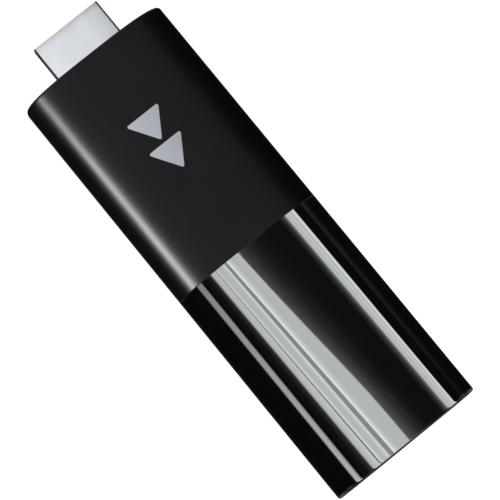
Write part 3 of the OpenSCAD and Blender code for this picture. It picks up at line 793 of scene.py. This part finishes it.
def light_mesh(name, grid, levels, strength, receivers, tint=(1, 1, 1)):
    """A glowing sheet through a grid of points in millimetres, lit by levels, for some objects only."""
    bm = bmesh.new()
    layer = bm.verts.layers.float.new("level")
    made = []
    for points, values in zip(grid, levels):
        row = []
        for p, v in zip(points, values):
            vert = bm.verts.new([c * MM for c in p])
            vert[layer] = v
            row.append(vert)
        made.append(row)
    for r0, r1 in zip(made, made[1:]):
        for i in range(len(r0) - 1):
            bm.faces.new((r0[i], r0[i + 1], r1[i + 1], r1[i]))
    mesh = bpy.data.meshes.new(name)
    bm.to_mesh(mesh)
    bm.free()
    obj = bpy.data.objects.new(name, mesh)
    bpy.context.scene.collection.objects.link(obj)
    obj.data.materials.append(emission_material(name, strength, tint))
    obj.visible_camera = False
    obj.visible_shadow = False
    obj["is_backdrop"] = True
    if receivers:
        group = bpy.data.collections.new(name + "_lit")
        for r in receivers:
            group.objects.link(r)
        obj.light_linking.receiver_collection = group
    return obj


def mirrored_panel(name, stops, y_a, y_b, over_a, over_b, strength, receivers, steps=24, tint=(1, 1, 1)):
    """A panel placed so that the camera sees it mirrored in the casing between two stations.

    Each stop is (x at y_a, x at y_b, level at y_a, level at y_b, bow): an edge's place on the casing in
    millimetres, how bright the panel is there, and how far the edge bows between the stations.
    """
    back, _, _ = camera_axes()
    eye = Vector(TARGET_MM) + back * DISTANCE_MM
    grid, levels = [], []
    for k in range(steps + 1):
        t = -over_a + (1 + over_a + over_b) * k / steps
        y = y_a + (y_b - y_a) * t
        swell = t ** 3 * (1 - t) / SWELL_PEAK if 0 < t < 1 else 0.0
        grid.append([seen_in(s[0] + (s[1] - s[0]) * t + s[4] * swell, y, eye) for s in stops])
        levels.append([max(0.0, s[2] + (s[3] - s[2]) * t) for s in stops])
    return light_mesh(name, grid, levels, strength, receivers, tint)


# the edges in each reflection on the glossy sleeve: x near the seam, x near the tail, level at each, bow
WINDOW = [
    # faint light left of the window
    (-9.6, -9.5, 0.004, 0.004, 0.0), (-9.0, -8.6, 0.004, 0.006, 0.0), (-8.4, -7.95, 0.03, 0.035, 0.0),
    (-8.22, -7.7, 0.055, 0.055, 0.0),
    # first pane
    (-7.86, -7.36, 1.0, 1.0, 0.0), (-7.3, -6.8, 1.02, 1.1, 0.0), (-7.1, -6.28, 1.12, 1.3, 0.0),
    # thin bar
    (-7.08, -6.2, 0.48, 0.35, 0.0), (-6.96, -5.99, 0.48, 0.35, 0.0),
    # second pane
    (-6.93, -5.92, 1.3, 1.5, 0.0), (-6.4, -5.3, 0.98, 1.0, 0.0), (-5.65, -4.7, 1.02, 1.05, 0.0),
    (-5.2, -4.2, 1.5, 1.45, 0.0),
    # wide bar
    (-5.15, -3.93, 0.5, 0.5, 0.0), (-4.63, -3.24, 0.5, 0.54, 0.0),
    # third pane, whose right edge bows
    (-4.58, -3.18, 1.75, 1.8, 0.0), (-4.05, -2.65, 1.17, 1.27, 0.0), (-3.4, -2.0, 0.96, 1.02, 0.0),
    (-2.35, -1.0, 1.03, 1.0, 0.1), (-2.12, 0.03, 1.05, 1.02, 0.35),
    # glow that dies away to the right
    (-2.07, 0.1, 0.13, 0.17, 0.35), (-1.35, 1.0, 0.08, 0.105, 0.3), (-0.3, 2.0, 0.042, 0.046, 0.15),
    (0.7, 3.0, 0.022, 0.02, 0.0), (2.1, 4.0, 0.009, 0.007, 0.0), (3.8, 5.1, 0.004, 0.004, 0.0),
    (7.2, 7.6, 0.004, 0.004, 0.0)]
THIN_STRIP = [
    (-11.22, -11.13, 0.0, 0.0, 0.0), (-10.97, -10.85, 0.49, 0.93, 0.0), (-10.3, -10.3, 0.51, 0.86, 0.0),
    (-10.08, -9.95, 0.0, 0.0, 0.0)]
SIDE_STRIP = [
    # soft left edge
    (6.8, 7.4, 0.0, 0.0, 0.0), (7.5, 8.1, 0.05, 0.06, 0.0), (7.9, 8.5, 0.25, 0.25, 0.0),
    # the strip, with two brighter lines
    (8.2, 8.75, 1.08, 1.05, 0.0), (8.75, 9.3, 1.0, 1.0, 0.0), (8.88, 9.45, 1.4, 1.35, 0.0),
    (9.0, 9.58, 1.0, 1.05, 0.0), (9.42, 9.85, 1.05, 1.1, 0.0), (9.56, 9.95, 1.6, 1.5, 0.0),
    (9.84, 10.18, 1.15, 1.2, -0.03), (9.92, 10.25, 0.0, 0.0, -0.03)]
FAINT_STRIP = [
    (11.35, 11.5, 0.0, 0.0, 0.0), (11.65, 11.9, 0.027, 0.008, 0.0), (12.4, 12.6, 0.0, 0.0, 0.0)]
# the same for the matte sleeve, from the plug end to the seam
MATTE_STREAK = [
    (-12.1, -12.1, 0.0, 0.0, 0.0), (-11.9, -11.9, 0.68, 1.0, 0.0), (-11.4, -11.4, 0.68, 1.0, 0.0),
    (-11.1, -11.1, 0.0, 0.0, 0.0)]
MATTE_FILL = [
    (-11.0, -11.0, 0.0, 0.0, 0.0), (-9.0, -9.0, 1.1, 1.2, 0.0), (-4.0, -4.0, 1.05, 1.15, 0.0),
    (0.0, 0.0, 0.95, 1.05, 0.0), (8.0, 8.0, 0.9, 0.95, 0.0), (9.9, 9.9, 0.85, 0.9, 0.0),
    (10.4, 10.4, 0.0, 0.0, 0.0)]

GLOSS_STATIONS = (-6.05, -44.25)
WINDOW_STRENGTH = 11.4
STREAK_STRENGTH = 29.0
FILL_STRENGTH = 0.235
COOL = (0.955, 1.0, 1.01)
PLUG_PANEL_LEVELS = [1.22, 1.1, 0.95, 0.87, 0.87]
PLUG_PANEL_TINT = (0.98, 1.0, 1.03)


def flat_panel(name, centre, facing, size, levels, strength, receivers, tint=(1, 1, 1)):
    """A flat glowing panel: centre and size in millimetres, levels from its left edge to its right."""
    z = Vector(facing).normalized()
    x = z.cross(Vector((0, 1, 0))).normalized()
    y = z.cross(x).normalized()
    x = y.cross(z)
    n = len(levels)
    grid = []
    for k in (-0.5, 0.5):
        grid.append([Vector(centre) + x * size[0] * (i / (n - 1) - 0.5) + y * size[1] * k for i in range(n)])
    return light_mesh(name, grid, [levels, levels], strength, receivers, tint)


def build_mirrored_lights(gloss, matte):
    """The panels that the camera sees mirrored in the sleeves and the plug."""
    y_a, y_b = GLOSS_STATIONS
    for name, stops in (("window_panel", WINDOW), ("thin_strip", THIN_STRIP), ("side_strip", SIDE_STRIP),
                        ("faint_strip", FAINT_STRIP)):
        mirrored_panel(name, stops, y_a, y_b, 0.5, 1.6, WINDOW_STRENGTH, [gloss], tint=COOL)
    mirrored_panel("matte_streak", MATTE_STREAK, Y_SHOULDER, Y_SEAM, 0.02, 0.6, STREAK_STRENGTH, [matte],
                   tint=COOL)
    mirrored_panel("matte_fill", MATTE_FILL, Y_SHOULDER, Y_SEAM, 2.5, 2.5, FILL_STRENGTH, [matte])
    small = [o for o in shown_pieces() if o not in (gloss, matte)]
    flat_panel("plug_panel", (-6, 30.5, 70), (0, 0, -1), (60, 81), PLUG_PANEL_LEVELS, 1.0, small,
               tint=PLUG_PANEL_TINT)


# light all round, by the angle about the stick's length from straight up towards +X, in degrees
GLOSS_ROUND = [
    (-180, 0.3), (-120, 0.45), (-93, 0.5), (-88, 0.12), (-62, 0.14), (-45, 0.3), (-28, 0.35), (-24, 1.7),
    (8, 1.7), (12, 0.35), (32, 0.25), (37, 1.0), (50, 1.0), (55, 0.2), (88, 0.12), (93, 0.5), (120, 0.45),
    (180, 0.3)]
GLOSS_BESIDE = [
    (-180, 0.0), (-150, 0.1), (-120, 0.4), (-93, 0.6), (-88, 0.15), (-80, 0.2), (-76, 0.95), (-58, 0.7),
    (-52, 0.0), (52, 0.0), (58, 0.7), (76, 0.95), (80, 0.2), (88, 0.15), (93, 0.6), (120, 0.4), (150, 0.1),
    (180, 0.0)]
MATTE_ROUND = [
    (-180, 0.35), (-95, 0.5), (-85, 0.25), (-55, 0.3), (-30, 0.6), (-18, 1.2), (10, 1.2), (24, 0.6),
    (55, 0.3), (85, 0.25), (95, 0.5), (180, 0.35)]
SMALL_ROUND = [
    (-180, 0.35), (-95, 0.5), (-85, 0.15), (-45, 0.2), (-25, 1.0), (15, 1.0), (35, 0.2), (85, 0.15),
    (95, 0.5), (180, 0.35)]
# how much of it there is by the direction's share along the stick, from the tail to the plug
GLOSS_ALONG = [
    (-1.0, 0.5), (-0.9, 0.6), (-0.6, 1.0), (-0.3, 1.0), (-0.2, 0.0), (0.2, 0.0), (0.3, 1.0), (0.6, 1.0),
    (0.9, 0.6), (1.0, 0.5)]
BESIDE_ALONG = [
    (-1.0, 0.0), (-0.5, 0.0), (-0.3, 1.0), (-0.006, 1.0), (-0.004, 0.0), (0.112, 0.0), (0.114, 1.0),
    (0.3, 1.0), (0.5, 0.0), (1.0, 0.0)]
MATTE_ALONG = [
    (-1.0, 0.7), (-0.9, 0.8), (-0.5, 1.0), (-0.3, 0.0), (0.35, 0.0), (0.6, 1.0), (0.9, 0.8), (1.0, 0.7)]
SMALL_ALONG = [
    (-1.0, 1.6), (-0.8, 1.4), (-0.5, 1.0), (-0.3, 0.0), (0.35, 0.0), (0.6, 1.0), (0.8, 1.4), (1.0, 1.6)]

SURROUND_MM = 3000


def between(stops, at):
    """The level at a place on a line of (place, level) stops."""
    for (a, va), (b, vb) in zip(stops, stops[1:]):
        if at <= b:
            return va + (vb - va) * (at - a) / (b - a)
    return stops[-1][1]


def surround(name, radius, layers, strength, receivers, around=72):
    """A ball of light round the stick; each layer is a pair of tables, round it and along it."""
    places = sorted({a for _, along in layers for a, _ in along} | {i / 10 for i in range(-10, 11)})
    turns = [360 * k / around - 180 for k in range(around + 1)]
    grid, levels = [], []
    for y in places:
        r = math.sqrt(max(0.0, 1 - y * y))
        angles = [math.radians(t) for t in turns]
        grid.append([(radius * r * math.sin(a), radius * y, radius * r * math.cos(a)) for a in angles])
        levels.append([sum(between(about, t) * between(along, y) for about, along in layers) for t in turns])
    return light_mesh(name, grid, levels, strength, receivers)


def build_general_lights(floor, gloss, matte):
    """Light for every other view of the stick, from outside the directions that the camera sees mirrored."""
    others = [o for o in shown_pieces() if o not in (gloss, matte)]
    gloss_layers = [(GLOSS_ROUND, GLOSS_ALONG), (GLOSS_BESIDE, BESIDE_ALONG)]
    surround("gloss_surround", SURROUND_MM, gloss_layers, 1.0, [gloss])
    surround("matte_surround", SURROUND_MM + 50, [(MATTE_ROUND, MATTE_ALONG)], 1.0, [matte])
    surround("small_surround", SURROUND_MM + 100, [(SMALL_ROUND, SMALL_ALONG)], 1.0, others)
    for side, name in ((-1, "left_box"), (1, "right_box")):
        centre = (side * 400, 0, 240)
        facing = [-c for c in centre]
        flat_panel(name + "_small", centre, facing, (300, 160), [1, 1], 2.0, others)
    flat_panel("floor_key", (0, 0, 900), (0, 0, -1), (1500, 1500), [1, 1], 1.2, [floor])


AMBIENT = 0.015
FLOOR_SIZE = 4.0
FLOOR_DROP = 0.00002
FLOOR_GLOW = 0.86


def build_floor():
    """A pale floor that glows like the backdrop, so that only the stick's own shade shows on it."""
    bm = bmesh.new()
    bmesh.ops.create_grid(bm, x_segments=1, y_segments=1, size=FLOOR_SIZE)
    floor = new_object("floor", bm)
    floor.location.z = -FLOOR_DROP
    mat, shader, nodes, link = material("floor")
    fine = noise(nodes, link, 30, detail=2)
    tint = ramp(nodes, link, fine.outputs["Fac"], [(0.3, grey(0.8)), (0.7, grey(0.82))])
    link(tint.outputs["Color"], shader.inputs["Base Color"])
    shader.inputs["Roughness"].default_value = 0.9
    shader.inputs["Specular IOR Level"].default_value = 0.0
    shader.inputs["Emission Color"].default_value = (1, 1, 1, 1)
    # the glow rises to the backdrop's own white away from the stick
    coords = nodes.new("ShaderNodeTexCoord")
    fade = nodes.new("ShaderNodeTexGradient")
    fade.gradient_type = "SPHERICAL"
    link(coords.outputs["Object"], fade.inputs["Vector"])
    glow = nodes.new("ShaderNodeMapRange")
    glow.inputs["From Max"].default_value = 0.7
    glow.inputs["To Min"].default_value = 1.0
    glow.inputs["To Max"].default_value = FLOOR_GLOW
    link(fade.outputs["Fac"], glow.inputs["Value"])
    link(glow.outputs["Result"], shader.inputs["Emission Strength"])
    floor.data.materials.append(mat)
    floor.visible_glossy = False
    floor.visible_diffuse = False
    floor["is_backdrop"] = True
    return floor


def build_world():
    """White to the camera and nearly dark to everything else."""
    world = bpy.data.worlds.new("studio")
    world.use_nodes = True
    nodes, link = world.node_tree.nodes, world.node_tree.links.new
    nodes.clear()
    path = nodes.new("ShaderNodeLightPath")
    level = nodes.new("ShaderNodeMapRange")
    level.inputs["To Min"].default_value = AMBIENT
    level.inputs["To Max"].default_value = 1.0
    back = nodes.new("ShaderNodeBackground")
    out = nodes.new("ShaderNodeOutputWorld")
    link(path.outputs["Is Camera Ray"], level.inputs["Value"])
    link(level.outputs["Result"], back.inputs["Strength"])
    link(back.outputs["Background"], out.inputs["Surface"])
    back.inputs["Color"].default_value = (1, 1, 1, 1)
    bpy.context.scene.world = world
    bpy.context.scene.view_settings.view_transform = "Standard"


# ---------- the whole scene ----------

dress_nodes()
gloss_shell = build_gloss_sleeve()
matte_shell = build_matte_sleeve()
build_plug_shell()
build_usb_shell()
build_badge()
build_camera()
stage_floor = build_floor()
build_world()
build_mirrored_lights(gloss_shell, matte_shell)
build_general_lights(stage_floor, gloss_shell, matte_shell)
